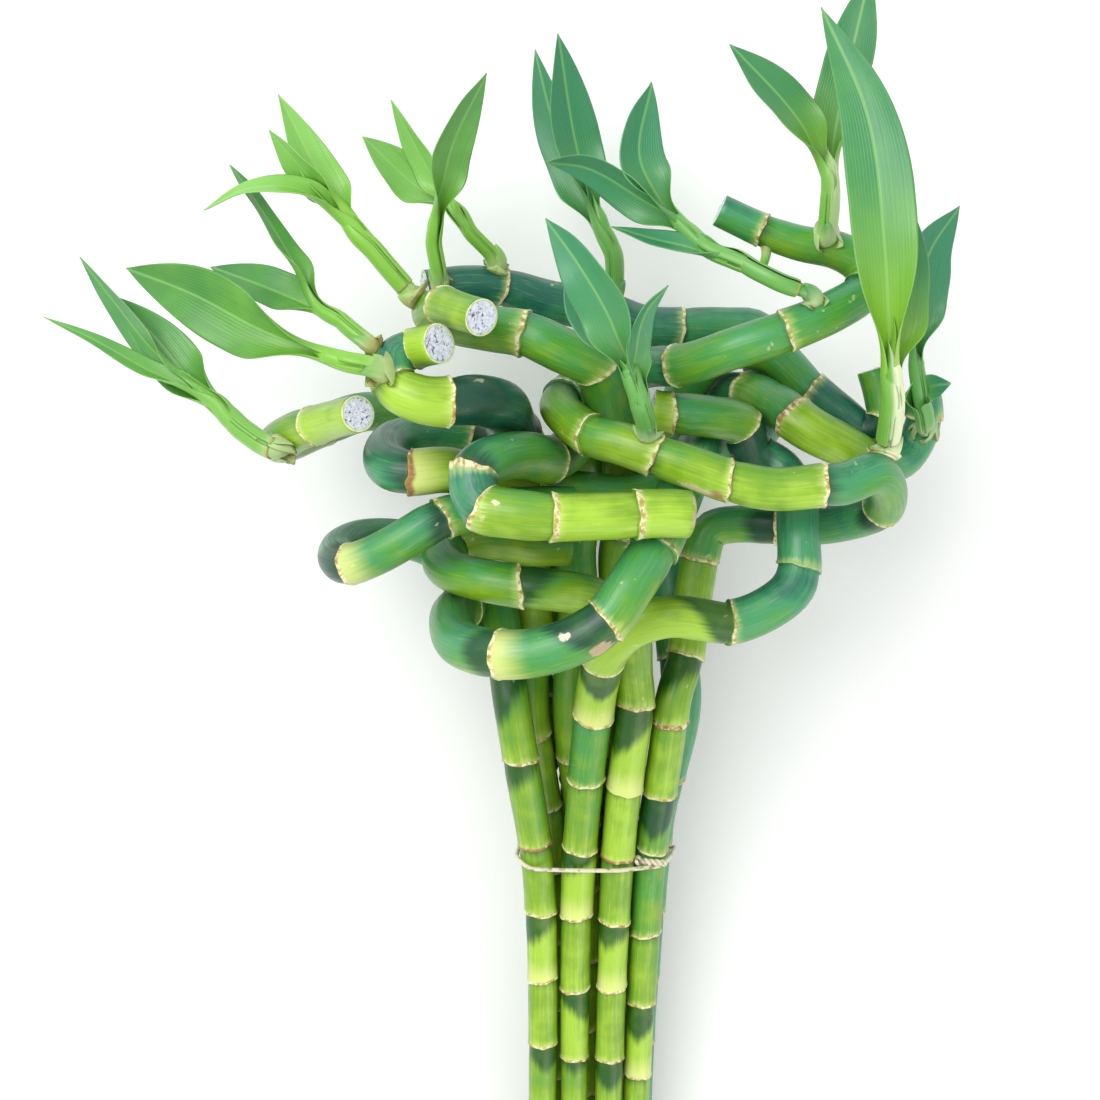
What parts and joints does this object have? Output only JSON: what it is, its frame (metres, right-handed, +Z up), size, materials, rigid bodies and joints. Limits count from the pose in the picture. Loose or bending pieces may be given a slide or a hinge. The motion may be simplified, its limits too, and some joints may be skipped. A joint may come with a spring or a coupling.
{
  "type": "lucky bamboo bunch",
  "caption": "Bunch of lucky bamboo canes, straight below and curled into loops at the top, with leafy shoots and a wire tie, lying on its back.",
  "frame": {"origin": "on the surface that the bunch lies on, under the middle of its bounding box", "axes": "+Y along the canes from the cut feet towards the curled crown, +X to the right seen from above with the crown ahead, +Z up"},
  "size_m": [0.2337, 0.378, 0.1211],
  "materials": {
    "cane": "smooth satin green skin with pale rings at the nodes, blue green below each node and yellow green above it",
    "leaf": "glossy green leaf with fine parallel veins",
    "wire": "thin wire with a pale coat, matt"
  },
  "bodies": {
    "root": {"cane_1": "cane", "cane_2": "cane", "cane_3": "cane", "cane_4": "cane", "cane_5": "cane", "cane_6": "cane", "cane_7": "cane", "cane_8": "cane", "cane_9": "cane", "cane_10": "cane", "cane_11": "cane", "shoot_1": "leaf", "shoot_2": "leaf", "shoot_3": "leaf", "shoot_4": "leaf", "shoot_5": "leaf", "shoot_6": "leaf", "shoot_7": "leaf", "shoot_8": "leaf", "shoot_9": "leaf", "shoot_10": "leaf", "shoot_11": "leaf", "shoot_12": "leaf", "tie": "wire"}
  },
  "joints": []
}
